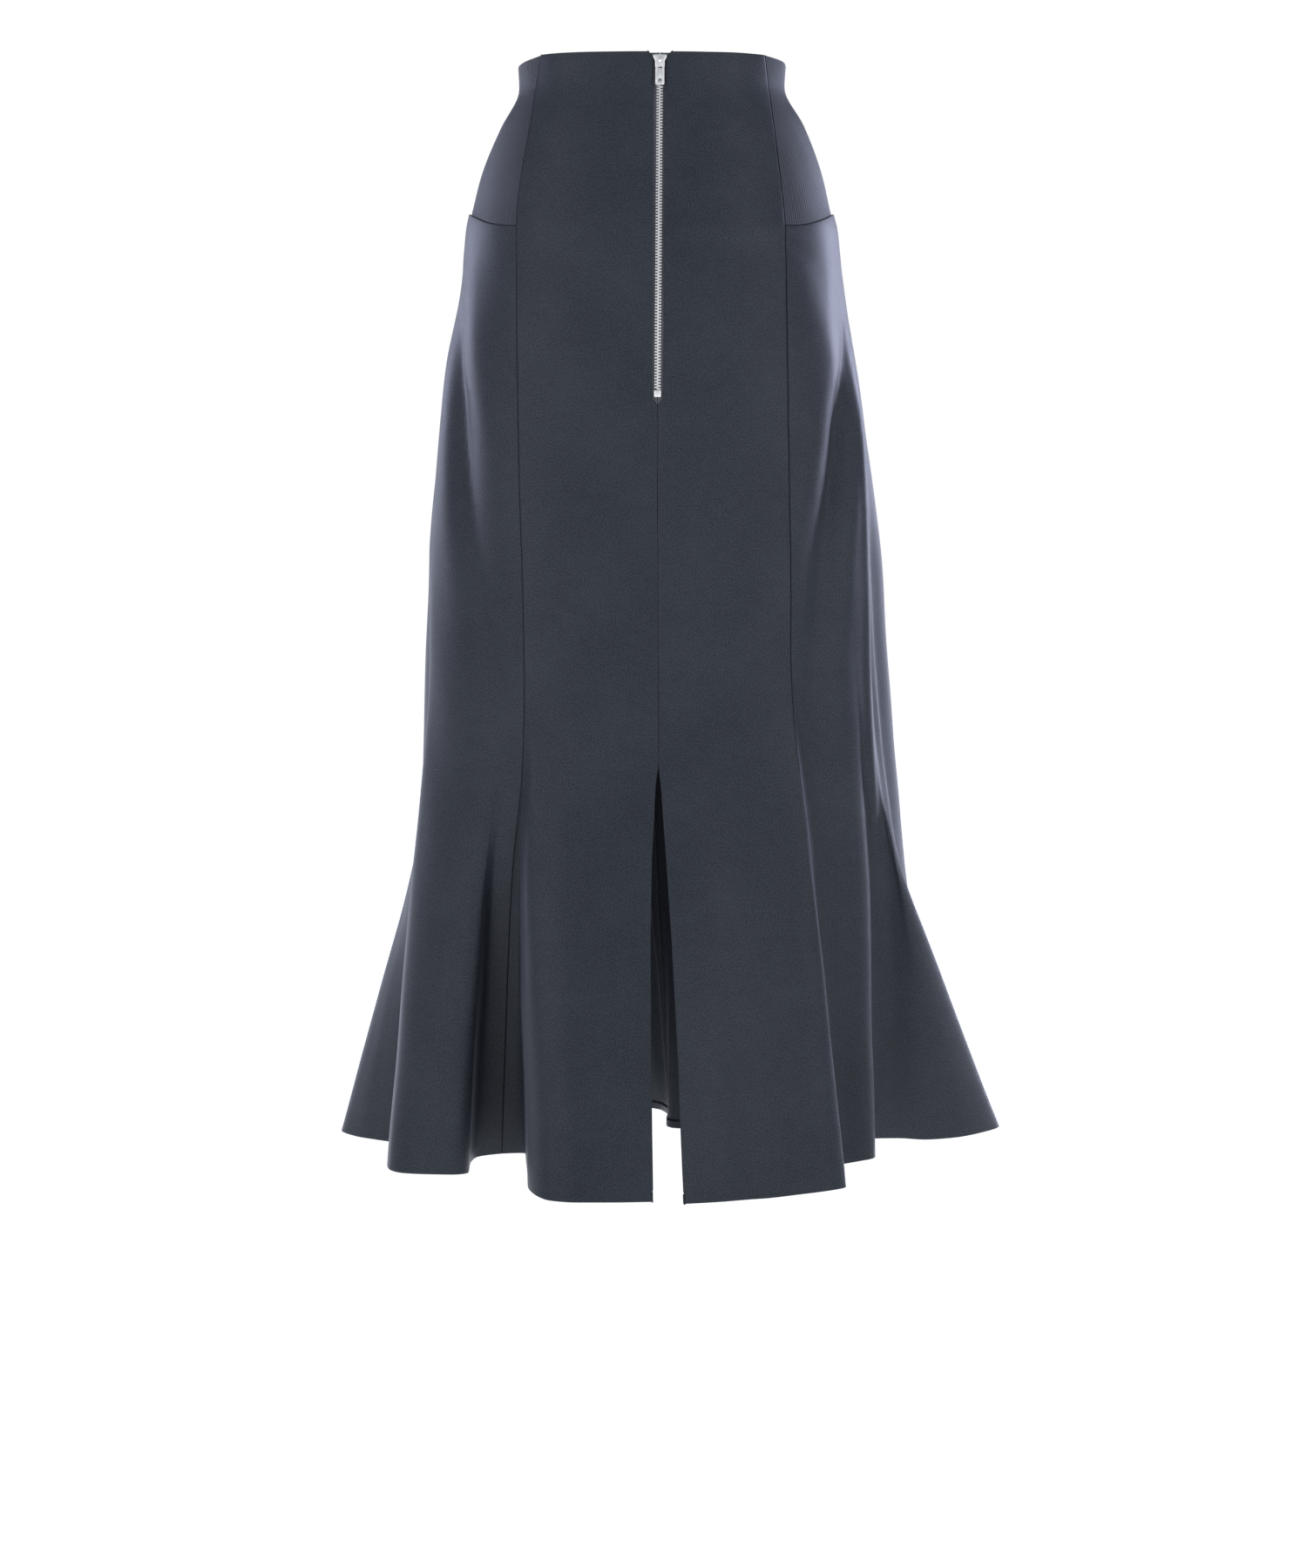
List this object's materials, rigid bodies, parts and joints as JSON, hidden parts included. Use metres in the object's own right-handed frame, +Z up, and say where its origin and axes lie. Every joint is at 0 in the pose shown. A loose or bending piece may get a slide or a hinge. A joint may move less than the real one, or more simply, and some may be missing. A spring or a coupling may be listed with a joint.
{
  "type": "mermaid fishtail skirt",
  "caption": "High-waisted midi skirt with rib-knit hip yokes, an exposed front zip, a walking slit and a fishtail hem, held in its worn, hollow form.",
  "frame": {"origin": "centre of the waist rim, where the wearer's waist holds the skirt", "axes": "+Z up out of the waist, -Y to the front where the zip is, +X to the wearer's left"},
  "size_m": [0.5175, 0.4079, 0.847],
  "materials": {
    "crepe": "matt stretch crepe, charcoal navy",
    "rib_knit": "fine vertical rib knit, charcoal navy",
    "tape": "woven zip tape, charcoal",
    "zip_metal": "silver, polished"
  },
  "bodies": {
    "skirt": {"front_panel_right": "crepe", "front_panel_left": "crepe", "side_panel_right": "crepe", "side_panel_left": "crepe", "back_panel_right": "crepe", "back_panel_left": "crepe", "rib_yoke_right": "rib_knit", "rib_yoke_left": "rib_knit", "zip_tape_left": "tape", "zip_tape_right": "tape", "zip_chain": "zip_metal", "zip_bottom_stop": "zip_metal", "zip_slider": "zip_metal"},
    "pull_tab": {"zip_pull_tab": "zip_metal"}
  },
  "joints": [
    {"name": "pull_tab_swing", "type": "hinge", "parent": "skirt", "child": "pull_tab", "pos_m": [0.00476, -0.08373, -0.00733], "axis": [-1, 0, 0], "range_deg": [0, 160]}
  ]
}
